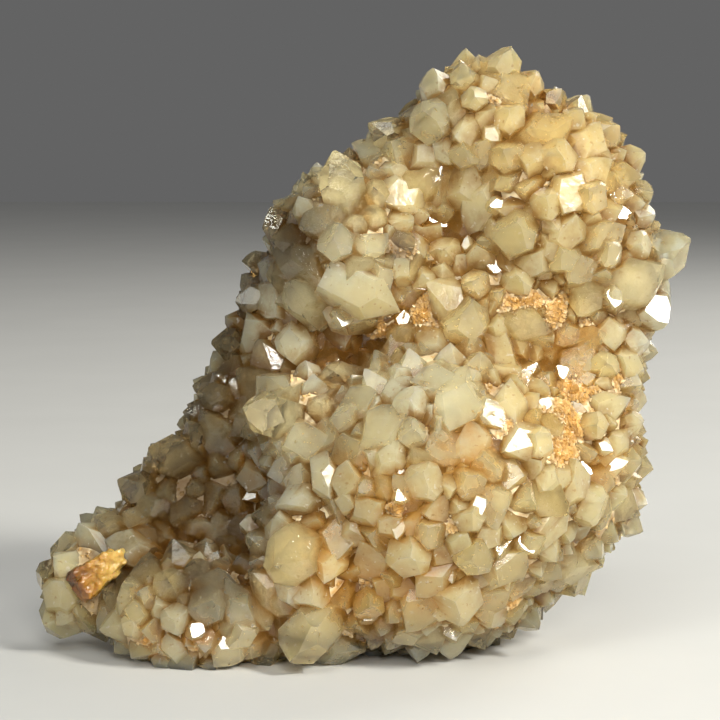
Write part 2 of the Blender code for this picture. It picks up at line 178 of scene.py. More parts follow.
# %% Crystals seen in the photograph
Seen = namedtuple("Seen", "tip_x tip_y foot_x foot_y width length look")
SEEN_CRYSTALS = [
    Seen(508, 49, 497, 80, 6.3, 6.5, "milky"),
    Seen(462, 64, 464, 90, 5.0, 5.0, "milky"),
    Seen(431, 71, 438, 98, 5.5, 5.0, "milky"),
    Seen(423, 116, 436, 126, 7.5, 6.5, "milky"),
    Seen(472, 96, 474, 104, 4.5, 5.0, "milky"),
    Seen(368, 125, 398, 142, 6.0, 5.5, "clear"),
    Seen(536, 72, 522, 96, 5.0, 5.0, "milky"),
    Seen(562, 90, 545, 113, 5.0, 5.0, "milky"),
    Seen(581, 110, 565, 130, 5.0, 5.0, "milky"),
    Seen(617, 128, 594, 142, 5.0, 5.0, "milky"),
    Seen(644, 154, 616, 166, 5.3, 5.0, "milky"),
    Seen(651, 192, 624, 196, 5.0, 5.0, "milky"),
    Seen(655, 214, 628, 218, 5.0, 5.0, "milky"),
    Seen(334, 152, 346, 200, 8.0, 8.0, "clear"),
    Seen(372, 187, 378, 200, 5.0, 5.0, "clear"),
    Seen(269, 207, 287, 240, 5.0, 6.0, "clear"),
    Seen(298, 198, 310, 222, 4.5, 5.0, "milky"),
    Seen(242, 262, 275, 266, 5.0, 5.5, "milky"),
    Seen(236, 300, 264, 300, 5.0, 5.0, "clear"),
    Seen(288, 280, 314, 302, 7.5, 7.0, "clear"),
    Seen(294, 366, 303, 336, 8.0, 7.0, "milky"),
    Seen(333, 236, 338, 246, 6.0, 6.0, "milky"),
    Seen(443, 247, 445, 255, 5.7, 5.5, "milky"),
    Seen(512, 224, 516, 236, 7.5, 6.5, "milky"),
    Seen(516, 277, 517, 284, 5.5, 5.0, "milky"),
    Seen(475, 280, 476, 287, 5.0, 5.0, "milky"),
    Seen(579, 316, 590, 288, 6.0, 6.0, "clear"),
    Seen(560, 249, 561, 256, 6.0, 5.0, "milky"),
    Seen(641, 242, 634, 248, 5.0, 5.0, "milky"),
    Seen(687, 238, 648, 262, 8.0, 7.5, "milky"),
    Seen(669, 322, 642, 304, 7.0, 6.0, "milky"),
    Seen(440, 205, 444, 218, 5.0, 5.5, "milky"),
    Seen(420, 272, 424, 284, 4.5, 5.0, "milky"),
    Seen(607, 246, 606, 258, 5.0, 5.0, "milky"),
    Seen(614, 288, 612, 300, 4.5, 4.5, "milky"),
    Seen(503, 148, 508, 160, 6.0, 5.5, "milky"),
    Seen(510, 108, 506, 126, 6.0, 5.5, "milky"),
    Seen(462, 146, 466, 158, 6.0, 5.5, "milky"),
    Seen(556, 150, 556, 162, 6.5, 5.5, "milky"),
    Seen(590, 190, 588, 200, 6.0, 5.5, "milky"),
    Seen(545, 198, 546, 208, 5.5, 5.0, "milky"),
    Seen(468, 300, 462, 330, 8.5, 7.0, "milky"),
    Seen(400, 328, 404, 342, 6.0, 6.0, "clear"),
    Seen(336, 372, 342, 385, 6.5, 6.0, "clear"),
    Seen(513, 413, 497, 360, 6.8, 9.0, "milky"),
    Seen(455, 430, 458, 406, 8.4, 6.0, "milky"),
    Seen(410, 398, 413, 408, 5.7, 5.5, "milky"),
    Seen(411, 430, 413, 438, 5.3, 5.0, "milky"),
    Seen(424, 476, 426, 486, 6.7, 6.0, "milky"),
    Seen(469, 478, 470, 486, 6.0, 4.5, "milky"),
    Seen(470, 514, 470, 522, 5.3, 5.0, "milky"),
    Seen(431, 530, 430, 536, 5.7, 5.0, "milky"),
    Seen(409, 560, 410, 554, 7.5, 6.5, "milky"),
    Seen(475, 562, 475, 556, 6.7, 6.0, "milky"),
    Seen(456, 608, 458, 596, 9.0, 7.0, "milky"),
    Seen(345, 412, 348, 424, 5.0, 5.5, "milky"),
    Seen(332, 499, 328, 466, 6.8, 7.0, "milky"),
    Seen(245, 408, 288, 420, 7.0, 9.0, "clear"),
    Seen(270, 568, 298, 556, 9.5, 8.0, "clear"),
    Seen(286, 664, 318, 625, 9.0, 8.5, "milky"),
    Seen(240, 527, 264, 530, 4.5, 5.0, "milky"),
    Seen(367, 612, 370, 604, 5.5, 5.5, "milky"),
    Seen(608, 505, 580, 506, 6.8, 7.0, "milky"),
    Seen(531, 536, 530, 546, 5.0, 5.0, "milky"),
    Seen(536, 436, 536, 448, 5.5, 5.5, "milky"),
    Seen(607, 365, 602, 368, 5.0, 5.0, "milky"),
    Seen(595, 425, 592, 428, 5.0, 5.0, "milky"),
    Seen(542, 634, 520, 612, 5.0, 5.0, "milky"),
    Seen(543, 586, 538, 580, 5.0, 4.5, "clear"),
    Seen(603, 562, 584, 545, 5.0, 5.0, "milky"),
    Seen(649, 340, 626, 342, 4.8, 4.5, "milky"),
    Seen(642, 381, 620, 382, 4.8, 4.5, "milky"),
    Seen(645, 425, 622, 426, 4.8, 4.5, "milky"),
    Seen(641, 462, 618, 462, 4.8, 4.5, "milky"),
    Seen(648, 506, 624, 500, 4.8, 4.5, "milky"),
    Seen(646, 532, 622, 522, 4.8, 4.5, "milky"),
    Seen(211, 342, 246, 346, 6.0, 6.0, "clear"),
    Seen(197, 393, 228, 400, 5.5, 5.5, "clear"),
    Seen(186, 422, 206, 450, 6.0, 6.0, "clear"),
    Seen(149, 449, 190, 463, 7.5, 7.5, "clear"),
    Seen(117, 482, 150, 496, 6.0, 6.0, "clear"),
    Seen(92, 519, 120, 535, 5.5, 5.0, "clear"),
    Seen(61, 534, 68, 556, 6.0, 5.0, "clear"),
    Seen(39, 580, 54, 578, 6.0, 5.0, "clear"),
    Seen(41, 628, 66, 616, 8.0, 6.5, "milky"),
    Seen(243, 556, 212, 546, 5.0, 6.0, "clear"),
    Seen(168, 584, 170, 592, 6.0, 5.0, "clear"),
    Seen(206, 604, 206, 612, 6.5, 5.5, "milky"),
    Seen(130, 626, 134, 630, 4.5, 4.0, "milky"),
    Seen(240, 634, 238, 640, 6.0, 5.5, "milky"),
    Seen(174, 624, 176, 622, 5.5, 4.5, "milky"),
    Seen(352, 336, 354, 344, 5.5, 5.0, "milky"),
    Seen(330, 346, 332, 352, 6.0, 5.0, "clear"),
    Seen(372, 346, 374, 352, 5.0, 4.5, "milky"),
]
SIDE_REACH = 40


def seat_at(x, y):
    """The point of the rock seen at a pixel, or the nearest one beside that line of sight."""
    sight = (photo_point(x, y) - VIEWPOINT).normalized()
    hit, _, _, _ = skin_tree.ray_cast(VIEWPOINT, sight)
    if hit is not None:
        return hit
    steps = range(-SIDE_REACH, SIDE_REACH + 1)
    beside = [VIEWPOINT + sight * (VIEWPOINT.length + step * MM) for step in steps]
    found = [skin_tree.find_nearest(point) for point in beside]
    return min(found, key=lambda near: near[3])[0]


def tip_over(foot, tip_x, tip_y, length):
    """The tip seen at a pixel, as far from the foot as the crystal is long, and on the viewer's side."""
    sight = (photo_point(tip_x, tip_y) - VIEWPOINT).normalized()
    beside = VIEWPOINT + sight * (foot - VIEWPOINT).dot(sight)
    sideways = (beside - foot).length
    return beside - sight * math.sqrt(max(0.0, length * length - sideways * sideways))


Growth = namedtuple("Growth", "foot tip width look turn", defaults=(None,))
growths = []
for number, row in enumerate(SEEN_CRYSTALS):
    seen_foot = seat_at(row.foot_x, row.foot_y)
    seen_tip = tip_over(seen_foot, row.tip_x, row.tip_y, row.length * MM)
    look = "hazy" if row.look == "milky" and number % 2 else row.look
    growths.append(Growth(seen_foot, seen_tip, row.width * MM, look))
print("crystals from the photograph", len(growths))

# %% [markdown]
# ## Where it is rusty, where it is dark, and where shade and light are painted
#
# Iron has stained the groove between the two lobes, a gritty patch on the right, and many seams. The flank
# and the foot are clearer quartz over dark rock, and their dark zones also hold painted shade, for the flank
# lies in shadow; two small dark zones at the bottom are painted shade only, and two pale zones there are
# painted light. Each such place is a ball round the skin seen at a pixel.
# A ball is told by x, y and its half width in pixels.

# %% Stain zones
RUST_ZONES = [
    (385, 318, 24), (428, 312, 24), (470, 300, 16), (516, 306, 24), (552, 312, 18), (585, 336, 24),
    (604, 372, 18), (575, 392, 24), (562, 425, 26), (556, 458, 22), (503, 428, 18), (480, 372, 10),
    (372, 572, 30), (370, 618, 18), (398, 508, 14), (436, 504, 14), (452, 528, 12), (440, 590, 14),
    (270, 596, 26), (262, 520, 20), (262, 470, 22), (480, 75, 14), (404, 252, 10), (430, 391, 9),
    (622, 408, 12), (500, 590, 18), (300, 600, 16), (336, 590, 16), (492, 104, 10), (540, 119, 12),
    (150, 600, 14), (110, 612, 16), (200, 640, 24), (150, 645, 24), (520, 560, 12), (350, 345, 16),
    (355, 585, 45), (430, 585, 40), (490, 600, 30), (400, 510, 45), (320, 560, 40), (470, 460, 35), (470, 430, 25),
    (360, 470, 25), (250, 645, 25), (600, 470, 25), (560, 340, 25), (340, 315, 20), (430, 180, 14), (350, 250, 12),
]
GRITTY_ZONES = [
    (385, 318, 20), (428, 312, 22), (470, 300, 14), (516, 306, 20), (552, 312, 16), (585, 336, 22),
    (604, 372, 18), (575, 392, 24), (562, 425, 26), (556, 458, 22), (503, 428, 15), (372, 576, 16),
    (398, 508, 10), (452, 528, 10), (480, 75, 12), (404, 252, 9), (262, 590, 14), (492, 104, 8), (506, 600, 12),
]
AMBER_ZONES = [(560, 150, 75), (520, 120, 50), (600, 190, 40), (470, 75, 30), (540, 400, 60), (380, 590, 50)]
# Pale zones: clearer, greyer quartz; the two at the bottom, at 640, are painted light where the light falls off.
PALE_AND_LIT_ZONES = [
    (337, 182, 55), (298, 300, 60), (330, 400, 60), (300, 480, 50), (245, 590, 45), (210, 630, 45), (655, 270, 75),
    (590, 540, 50), (290, 600, 36), (430, 120, 40), (430, 400, 60), (75, 540, 40), (340, 250, 45),
    (285, 560, 34), (400, 640, 50), (470, 640, 40), (310, 440, 40),
]
# Dark zones: darker quartz over dark rock on the flank and foot, partly painted shade where they lie in shadow; the
# last two, at the bottom, are painted shade only.
DARK_AND_SHADED_ZONES = [
    (206, 500, 86), (175, 545, 60), (222, 400, 54), (220, 320, 52), (248, 250, 48), (224, 450, 52), (135, 560, 50),
    (205, 590, 45), (395, 250, 18), (300, 238, 44), (550, 634, 26), (310, 648, 22),
]
YELLOW_ZONES = [(461, 539, 20), (501, 584, 12), (590, 560, 42), (560, 131, 14), (606, 515, 28), (570, 590, 30)]


ZONES = {
    "rusty": RUST_ZONES, "gritty": GRITTY_ZONES, "amber": AMBER_ZONES, "pale": PALE_AND_LIT_ZONES, "dusky": DARK_AND_SHADED_ZONES,
    "yellow": YELLOW_ZONES,
}
ZONE_SOFTNESS = 0.55


def zone_balls(zones):
    """The middles and the half widths of the balls."""
    middles = np.array([seat_at(x, y)[:] for x, y, _ in zones])
    return middles, np.array([half_width * PIXEL for _, _, half_width in zones])


ZONE_BALLS = {name: zone_balls(zones) for name, zones in ZONES.items()}


def in_zone(name, point):
    """How far a point is in a kind of zone: 1 inside, falling to 0 outside."""
    middles, reaches = ZONE_BALLS[name]
    gaps = np.linalg.norm(middles - np.array(point), axis=1) / reaches
    return float(np.clip((1.0 + ZONE_SOFTNESS - gaps) / (2.0 * ZONE_SOFTNESS), 0.0, 1.0).max())


print("zones", {name: len(zones) for name, zones in ZONES.items()})

# %% [markdown]
# ## Faces that flash
#
# A flat face flashes when it turns the key light's rays straight to the eye. That is when it faces the middle
# between the two directions. Each flash of the photograph gets a crystal with one end face turned just so.

# %% Flashing faces
KEY_SPOT = Vector((0.58, -0.52, 0.58))
FRONT_SPOT = Vector((0.10, -0.80, 0.35))
LEFT_SPOT = Vector((-0.50, -0.70, 0.35))
TIP_SLOPE = math.radians(51.8)
FIRST_FACE = math.radians(30.0)
FACE_MIDDLE = Vector((0.27 * math.cos(FIRST_FACE), 0.27 * math.sin(FIRST_FACE), -0.34))
FLASH_HEIGHT = 3.0 * MM
FLASH_SHARE = 0.78
Flash = namedtuple("Flash", "x y width")
FLASHES = [
    Flash(438, 215, 5.9), Flash(419, 280, 5.5), Flash(496, 204, 3.9), Flash(490, 135, 4.3), Flash(509, 155, 3.9),
    Flash(440, 170, 4.3), Flash(377, 197, 4.7), Flash(352, 179, 4.3), Flash(345, 313, 6.2), Flash(403, 318, 4.3),
    Flash(345, 421, 5.9), Flash(250, 496, 4.7), Flash(282, 560, 4.3), Flash(240, 638, 5.9), Flash(196, 633, 4.3),
    Flash(398, 529, 5.1), Flash(404, 495, 4.3), Flash(480, 506, 4.3), Flash(529, 542, 5.5), Flash(450, 577, 4.3),
    Flash(370, 615, 5.1), Flash(609, 256, 5.1), Flash(616, 294, 5.5), Flash(646, 300, 4.7), Flash(621, 212, 4.3),
    Flash(675, 246, 4.3), Flash(564, 372, 3.9), Flash(549, 393, 3.9), Flash(536, 442, 5.5), Flash(606, 447, 4.3),
    Flash(584, 470, 4.3), Flash(466, 244, 3.9),
]


def skin_facing(point):
    """The way the skin faces nearest a point."""
    return skin_tree.find_nearest(point)[1]


def face_crystal(middle, face_way, outward, width, look):
    """A crystal whose first end face has its middle at a point and faces a given way."""
    side = (outward - face_way * outward.dot(face_way)).normalized()
    axis = face_way * math.cos(TIP_SLOPE) + side * math.sin(TIP_SLOPE)
    across = axis.cross(face_way).normalized()
    up = Vector((0.0, 0.0, 1.0))
    own_across = Vector((-math.sin(FIRST_FACE), math.cos(FIRST_FACE), 0.0))
    world = Matrix((across.cross(axis), across, axis)).transposed()
    own = Matrix((own_across.cross(up), own_across, up))
    turn = world @ own
    tip = middle - turn @ FACE_MIDDLE * width
    return Growth(tip - axis * 0.5 * width, tip, width, look, turn.to_quaternion())


def flash_crystal(flash, number):
    """A crystal whose first end face sends a light's rays to the eye."""
    sight = (photo_point(flash.x, flash.y) - VIEWPOINT).normalized()
    middle = seat_at(flash.x, flash.y) - sight * FLASH_HEIGHT
    spot = (KEY_SPOT, FRONT_SPOT, KEY_SPOT, LEFT_SPOT)[number % 4]
    face_way = ((spot - middle).normalized() - sight).normalized()
    width = flash.width * FLASH_SHARE * MM
    return face_crystal(middle, face_way, skin_facing(middle), width, ("hazy", "milky")[number % 2])


growths += [flash_crystal(flash, number) for number, flash in enumerate(FLASHES)]
print("with flashing faces", len(growths))

# %% Crystals between them
Sowing = namedtuple("Sowing", "tries width_least width_most crowding height_least height_most lying rusty_share")
SOWINGS = [
    Sowing(9000, 6.8, 9.8, 0.48, 2.8, 4.2, 0.60, 0.02),
    Sowing(9000, 4.4, 6.6, 0.44, 2.4, 3.8, 0.50, 0.02),
    Sowing(12000, 2.8, 4.2, 0.46, 1.8, 2.9, 0.35, 0.10),
]
LEAN = 0.34
LYING_UNEVENNESS = 0.16
LYING_FACING = 0.6
LOOKS = ("clear", "hazy", "milky")
LOOK_SHARES = (0.10, 0.40, 0.50)
DUSKY_LOOK_SHARES = (0.45, 0.45, 0.10)
PALE_LOOK_SHARES = (0.25, 0.50, 0.25)
BARE_FROM = 0.5
DUSKY_LEAST = 3.6
BARITE_BACK_END = (66, 597)
BARITE_CREST_END = (116, 562)
BARITE_ROOM = 4.6 * MM
LOWEST_FOOT = 0.5 * MM
barite_seat = seat_at(
    (BARITE_BACK_END[0] + BARITE_CREST_END[0]) / 2.0, (BARITE_BACK_END[1] + BARITE_CREST_END[1]) / 2.0
)
sowing_rng = random.Random(1404)
skin_corners = [vertex.co.copy() for vertex in rock.data.vertices]
skin_triangles = list(rock.data.loop_triangles)
skin_areas = [triangle.area for triangle in skin_triangles]


def shaken(way, amount):
    """A direction, turned a little at random."""
    return (way + Vector([sowing_rng.uniform(-amount, amount) for _ in range(3)])).normalized()


def sown_crystal(sowing, foot, facing, width, look):
    """A crystal that stands on its foot, or one that lies with an end face along the skin."""
    height = sowing_rng.uniform(sowing.height_least, sowing.height_most) * MM
    lies = sowing_rng.random() < sowing.lying and abs(facing.y) > LYING_FACING
    side = shaken(Vector((0.0, 0.0, 0.0)), 1.0)
    if lies:
        return face_crystal(foot + facing * height * 0.8, shaken(facing, LYING_UNEVENNESS), side, width, look)
    return Growth(foot, foot + shaken(facing, LEAN) * height, width, look)


def sow(sowing, growths):
    """Throw crystals at the skin, and keep each that its neighbours leave room for."""
    feet = np.array([growth.foot[:] for growth in growths])
    widths = np.array([growth.width for growth in growths])
    for triangle in sowing_rng.choices(skin_triangles, weights=skin_areas, k=sowing.tries):
        side_a, side_b = sorted((sowing_rng.random(), sowing_rng.random()))
        first, second, third = (skin_corners[index] for index in triangle.vertices)
        foot = first * side_a + second * (side_b - side_a) + third * (1.0 - side_b)
        width = sowing_rng.uniform(sowing.width_least, sowing.width_most) * MM
        shares = PALE_LOOK_SHARES if in_zone("pale", foot) > 0.5 else LOOK_SHARES
        shares = DUSKY_LOOK_SHARES if in_zone("dusky", foot) > 0.5 else shares
        look = sowing_rng.choices(LOOKS, weights=shares)[0]
        keeps_off = sowing_rng.random() > sowing.rusty_share and in_zone("gritty", foot) > BARE_FROM
        is_smooth = in_zone("dusky", foot) > 0.8 or in_zone("yellow", foot) > 0.5
        keeps_off = keeps_off or (width < DUSKY_LEAST * MM and is_smooth)
        if foot.z < LOWEST_FOOT or (foot - barite_seat).length < BARITE_ROOM or keeps_off:
            continue
        gaps = np.linalg.norm(feet - np.array(foot), axis=1) - sowing.crowding * (widths + width) / 2.0
        if gaps.min() < 0.0:
            continue
        growths.append(sown_crystal(sowing, foot, triangle.normal, width, look))
        feet = np.vstack((feet, foot[:]))
        widths = np.append(widths, width)
    return growths


for sowing in SOWINGS:
    growths = sow(sowing, growths)
    print("crystals so far", len(growths))

# %% [markdown]
# ## One crystal
#
# A quartz crystal is a six-sided prism that ends in six sloping faces. Three are large and three are small,
# and no two crystals are cut alike. A dozen different ones are enough, because each copy is turned and sized
# anew. They are one unit wide, with the tip at the origin, so that a copy can be set by its tip.

# %% Crystal variants
PRISM_SIDES = 6
VARIANTS_OF_EACH = 7
SHORT_LENGTH = 1.4
LONG_LENGTH = 2.3
LONG_FROM = 1.05


def crystal_mesh(name, rng, tone, look, length):
    """A prism cut by six sloping planes at uneven heights, with its own tone."""
    shape = bmesh.new()
    bmesh.ops.create_cone(
        shape, cap_ends=True, segments=PRISM_SIDES, radius1=0.5, radius2=0.5, depth=length
    )
    bmesh.ops.scale(shape, verts=shape.verts, vec=(1.0, rng.uniform(0.82, 1.0), 1.0))
    for side in range(PRISM_SIDES):
        angle = math.radians(60.0 * side) + FIRST_FACE
        slope = Vector((math.sin(TIP_SLOPE) * math.cos(angle), math.sin(TIP_SLOPE) * math.sin(angle), 0.0))
        slope.z = math.cos(TIP_SLOPE)
        drop = rng.uniform(0.0, 0.06) if side % 2 else rng.uniform(0.02, 0.24)
        start = Vector((0.0, 0.0, length / 2.0 - drop))
        everything = shape.verts[:] + shape.edges[:] + shape.faces[:]
        cut = bmesh.ops.bisect_plane(shape, geom=everything, plane_co=start, plane_no=slope, clear_outer=True)
        rim = [part for part in cut["geom_cut"] if isinstance(part, bmesh.types.BMEdge)]
        if rim:
            bmesh.ops.edgenet_fill(shape, edges=rim)
    top = max(vertex.co.z for vertex in shape.verts)
    bmesh.ops.translate(shape, verts=shape.verts, vec=(0.0, 0.0, -top))
    bmesh.ops.recalc_face_normals(shape, faces=shape.faces)
    tone_layer = shape.faces.layers.float.new("tone")
    look_layer = shape.faces.layers.int.new("look")
    for face in shape.faces:
        face[tone_layer] = tone
        face[look_layer] = look
    mesh = bpy.data.meshes.new(name)
    shape.to_mesh(mesh)
    shape.free()
    return mesh


variant_rng = random.Random(77)
variants = bpy.data.collections.new("crystal_variants")
shorts = VARIANTS_OF_EACH * len(LOOKS)
for number in range(shorts + len(LOOKS)):
    name = "variant_%02d" % number
    look, length = (number // VARIANTS_OF_EACH, SHORT_LENGTH) if number < shorts else (number - shorts, LONG_LENGTH)
    mesh = crystal_mesh(name, variant_rng, variant_rng.random(), look, length)
    variants.objects.link(bpy.data.objects.new(name, mesh))

# %% [markdown]
# ## Setting and fusing the crystals
#
# Geometry Nodes put a variant on each tip, turned along its axis and sized to its width. A Mesh Boolean inside
# the same tree fuses them into one closed skin, so that light passes from one crystal into the next without
# meeting hidden walls. The tree's inputs are the variants and the material.

# %% The setting tree


def node_at(tree, kind, **settings):
    """Add a node and set its properties."""
    node = tree.nodes.new(kind)
    for key, value in settings.items():
        setattr(node, key, value)
    return node


def named_attribute(tree, name, data_type):
    """A socket that reads an attribute of the points."""
    node = node_at(tree, "GeometryNodeInputNamedAttribute", data_type=data_type)
    node.inputs["Name"].default_value = name
    return next(output for output in node.outputs if output.enabled)


def setting_tree():
    """Points in, crystals out, loose or fused into one skin."""
    tree = bpy.data.node_groups.new("set_crystals", "GeometryNodeTree")
    sockets = tree.interface
    sockets.new_socket("Points", in_out="INPUT", socket_type="NodeSocketGeometry")
    sockets.new_socket("Variants", in_out="INPUT", socket_type="NodeSocketCollection")
    sockets.new_socket("Fused", in_out="INPUT", socket_type="NodeSocketBool")
    sockets.new_socket("Finish", in_out="INPUT", socket_type="NodeSocketMaterial")
    sockets.new_socket("Crystals", in_out="OUTPUT", socket_type="NodeSocketGeometry")
    group_in = node_at(tree, "NodeGroupInput")
    group_out = node_at(tree, "NodeGroupOutput")
    pick = node_at(tree, "GeometryNodeCollectionInfo")
    pick.inputs["Separate Children"].default_value = True
    pick.inputs["Reset Children"].default_value = True
    place = node_at(tree, "GeometryNodeInstanceOnPoints")
    place.inputs["Pick Instance"].default_value = True
    join = node_at(tree, "GeometryNodeMeshBoolean", operation="UNION", solver="MANIFOLD")
    choose = node_at(tree, "GeometryNodeSwitch", input_type="GEOMETRY")
    realize = node_at(tree, "GeometryNodeRealizeInstances")
    finish = node_at(tree, "GeometryNodeSetMaterial")
    link = tree.links.new
    link(group_in.outputs["Variants"], pick.inputs["Collection"])
    link(group_in.outputs["Points"], place.inputs["Points"])
    link(pick.outputs[0], place.inputs["Instance"])
    link(named_attribute(tree, "kind", "INT"), place.inputs["Instance Index"])
    link(named_attribute(tree, "turn", "QUATERNION"), place.inputs["Rotation"])
    link(named_attribute(tree, "size", "FLOAT"), place.inputs["Scale"])
    link(place.outputs["Instances"], join.inputs["Mesh 2"])
    link(group_in.outputs["Fused"], choose.inputs["Switch"])
    link(place.outputs["Instances"], choose.inputs["False"])
    link(join.outputs["Mesh"], choose.inputs["True"])
    link(choose.outputs[0], realize.inputs["Geometry"])
    link(realize.outputs["Geometry"], finish.inputs["Geometry"])
    link(group_in.outputs["Finish"], finish.inputs["Material"])
    link(finish.outputs["Geometry"], group_out.inputs["Crystals"])
    return tree


def set_inputs(modifier, **values):
    """Set a modifier's inputs by the identifiers of the tree's sockets."""
    for item in modifier.node_group.interface.items_tree:
        if item.item_type == "SOCKET" and item.in_out == "INPUT" and item.name in values:
            modifier[item.identifier] = values[item.name]


tree_of_crystals = setting_tree()
print("tree nodes", len(tree_of_crystals.nodes))

# %% Points for the crystals
CLEAR = bpy.data.materials.new("clear_quartz")
HAZY = bpy.data.materials.new("hazy_quartz")
MILKY = bpy.data.materials.new("milky_quartz")
QUARTZ_FINISHES = (CLEAR, HAZY, MILKY)
STAINED = bpy.data.materials.new("stained_rock")
turn_rng = random.Random(5)


def add_values(mesh, name, kind, domain, values):
    """Store one value or vector for each point or face of a mesh."""
    layer = mesh.attributes.new(name, kind, domain)
    layer.data.foreach_set("value", np.array(values, dtype=np.int32 if kind == "INT" else np.float32).ravel())


def crystal_points(name, growths):
    """One point for each tip, with the turn, the size and the variant of its crystal."""
    turns, kinds = [], []
    for growth in growths:
        axis = (growth.tip - growth.foot).normalized()
        roll = Matrix.Rotation(turn_rng.uniform(0.0, math.tau), 4, "Z")
        turn = (axis.to_track_quat("Z", "Y").to_matrix().to_4x4() @ roll).to_quaternion()
        turns.append((growth.turn or turn)[:])
        kind = LOOKS.index(growth.look)
        short_kind = kind * VARIANTS_OF_EACH + turn_rng.randrange(VARIANTS_OF_EACH)
        is_long = (growth.tip - growth.foot).length > LONG_FROM * growth.width
        kinds.append(shorts + kind if is_long else short_kind)
    mesh = bpy.data.meshes.new(name)
    mesh.from_pydata([growth.tip for growth in growths], [], [])
    add_values(mesh, "turn", "QUATERNION", "POINT", turns)
    add_values(mesh, "size", "FLOAT", "POINT", [growth.width for growth in growths])
    add_values(mesh, "kind", "INT", "POINT", kinds)
    return new_piece(name, mesh)


def grown(name, growths, fused):
    """The crystals of the points, as a plain mesh."""
    piece = crystal_points(name, growths)
    setting = piece.modifiers.new("setting", "NODES")
    setting.node_group = tree_of_crystals
    set_inputs(setting, Variants=variants, Fused=fused, Finish=MILKY)
    apply_modifiers(piece)
    return piece


turn_rng.seed(5)
loose = grown("loose_crystals", growths, False)
turn_rng.seed(5)
crystals = grown("quartz_crystals", growths, True)
print("loose faces", len(loose.data.polygons), "fused faces", len(crystals.data.polygons))

# %% [markdown]
# ## The flat cut
#
# The real stone is set down on a flat side. A box takes away all that lies below the floor from the crystals
# and from the rock.

# %% Cut the base flat
CUT_SIZE = Vector((160, 120, 40)) * MM


def box_mesh(name, middle, size):
    """A plain box, for cutting only."""
    shape = bmesh.new()
    place = Matrix.Translation(middle) @ Matrix.Diagonal((size.x, size.y, size.z, 1.0))
    bmesh.ops.create_cube(shape, size=1.0, matrix=place)
    mesh = bpy.data.meshes.new(name)
    shape.to_mesh(mesh)
    shape.free()
    return mesh


def cut_away(piece, cutter):
    """Take the cutter's room out of a piece, and delete the cutter."""
    cut = piece.modifiers.new("cut", "BOOLEAN")
    cut.operation = "DIFFERENCE"
    cut.solver = "MANIFOLD"
    cut.object = cutter
    apply_modifiers(piece)
    old = cutter.data
    bpy.data.objects.remove(cutter)
    bpy.data.meshes.remove(old)


print("cutting box mm", [round(side / MM) for side in CUT_SIZE])

# %% [markdown]
# ## The rock between the crystals
#
# Rock and fine grit fill the gaps of a real cluster. The skin is raised a little everywhere, and more in the
# gritty places, with a noise for its grain that is weaker outside them.

# %% The rock swells
SWELL = 0.8 * MM
RUSTY_SWELL = 1.1 * MM
GRAIN = 0.5 * MM
COVERED_GRAIN = 0.3
GRAIN_SIZE = 1.3 * MM
SLOW_SIZE = 6.0 * MM


def swell(piece):
    """Raise the rock's skin between the crystals, with grains on it."""
    finer = piece.modifiers.new("finer", "SUBSURF")
    finer.levels = finer.render_levels = 1
    apply_modifiers(piece)
    mesh = piece.data
    moved, rusty = [], []
    for vertex in mesh.vertices:
        rusty.append(in_zone("gritty", vertex.co))
        unevenness = mathutils_noise.noise(vertex.co / GRAIN_SIZE) + mathutils_noise.noise(vertex.co / SLOW_SIZE)
        rise = SWELL + RUSTY_SWELL * rusty[-1] + GRAIN * unevenness * (COVERED_GRAIN + rusty[-1])
        moved.append(vertex.co + vertex.normal * rise)
    mesh.vertices.foreach_set("co", np.array(moved, dtype=np.float32).ravel())
    mesh.update()
    add_values(mesh, "gritty", "FLOAT", "POINT", rusty)


swell(rock)
print("rock faces", len(rock.data.polygons))

# %% Cut both
for piece in (crystals, rock):
    below = Vector((0.0, 0.0, -CUT_SIZE.z / 2.0))
    cut_away(piece, new_piece("below_floor", box_mesh("below_floor", below, CUT_SIZE)))
print("cut crystals", len(crystals.data.polygons), "rock", len(rock.data.polygons))

# %% Tone, look and openness
FULL_RISE = 4.0 * MM
OPEN_REACH = 5.0 * MM
OPEN_RAYS = 24
OPEN_START = 0.05 * MM


def sky_directions(count):
    """Even directions over a half ball that faces up."""
    directions = []
    for index in range(count):
        height = (index + 0.5) / count
        turn = index * math.pi * (3.0 - math.sqrt(5.0))
        flat = math.sqrt(1.0 - height * height)
        directions.append(Vector((flat * math.cos(turn), flat * math.sin(turn), height)))
    return directions


# The openness is the measure by which painted shade is laid into the quartz's seams.
def openness(mesh, tree, reach):
    """For each corner, the share of the half ball above it that is free of other crystals."""
    sky = sky_directions(OPEN_RAYS)
    shares = []
    for vertex in mesh.vertices:
        turn = vertex.normal.to_track_quat("Z", "Y")
        start = vertex.co + vertex.normal * OPEN_START
        hits = sum(tree.ray_cast(start, turn @ way, reach)[0] is not None for way in sky)
        shares.append(1.0 - hits / OPEN_RAYS)
    return shares


def mark_faces(piece, loose):
    """Give each fused face its crystal's tone and look, and each corner its rise and openness."""
    depsgraph = bpy.context.evaluated_depsgraph_get()
    loose_tree = BVHTree.FromObject(loose, depsgraph)
    own_tree = BVHTree.FromObject(piece, depsgraph)
    tones = loose.data.attributes["tone"].data
    looks = loose.data.attributes["look"].data
    mesh = piece.data
    nearest = [loose_tree.find_nearest(polygon.center)[2] for polygon in mesh.polygons]
    add_values(mesh, "tone", "FLOAT", "FACE", [tones[near].value for near in nearest])
    mesh.polygons.foreach_set("material_index", [looks[near].value for near in nearest])
    rises = [min(1.0, skin_tree.find_nearest(vertex.co)[3] / FULL_RISE) for vertex in mesh.vertices]
    add_values(mesh, "rise", "FLOAT", "POINT", rises)
    add_values(mesh, "open", "FLOAT", "POINT", openness(mesh, own_tree, OPEN_REACH))


print("rays for openness", OPEN_RAYS)

# %% [markdown]
# ## Soft edges
#
# The edge of a natural crystal is never a razor's, and a hair-wide bevel catches light along it. The seams
# between crystals keep their sharp valley, so only outward edges are given a bevel.

# %% Soften the crystals' own edges
EDGE_WIDTH = 0.14 * MM
SHARP_FROM = math.radians(12.0)


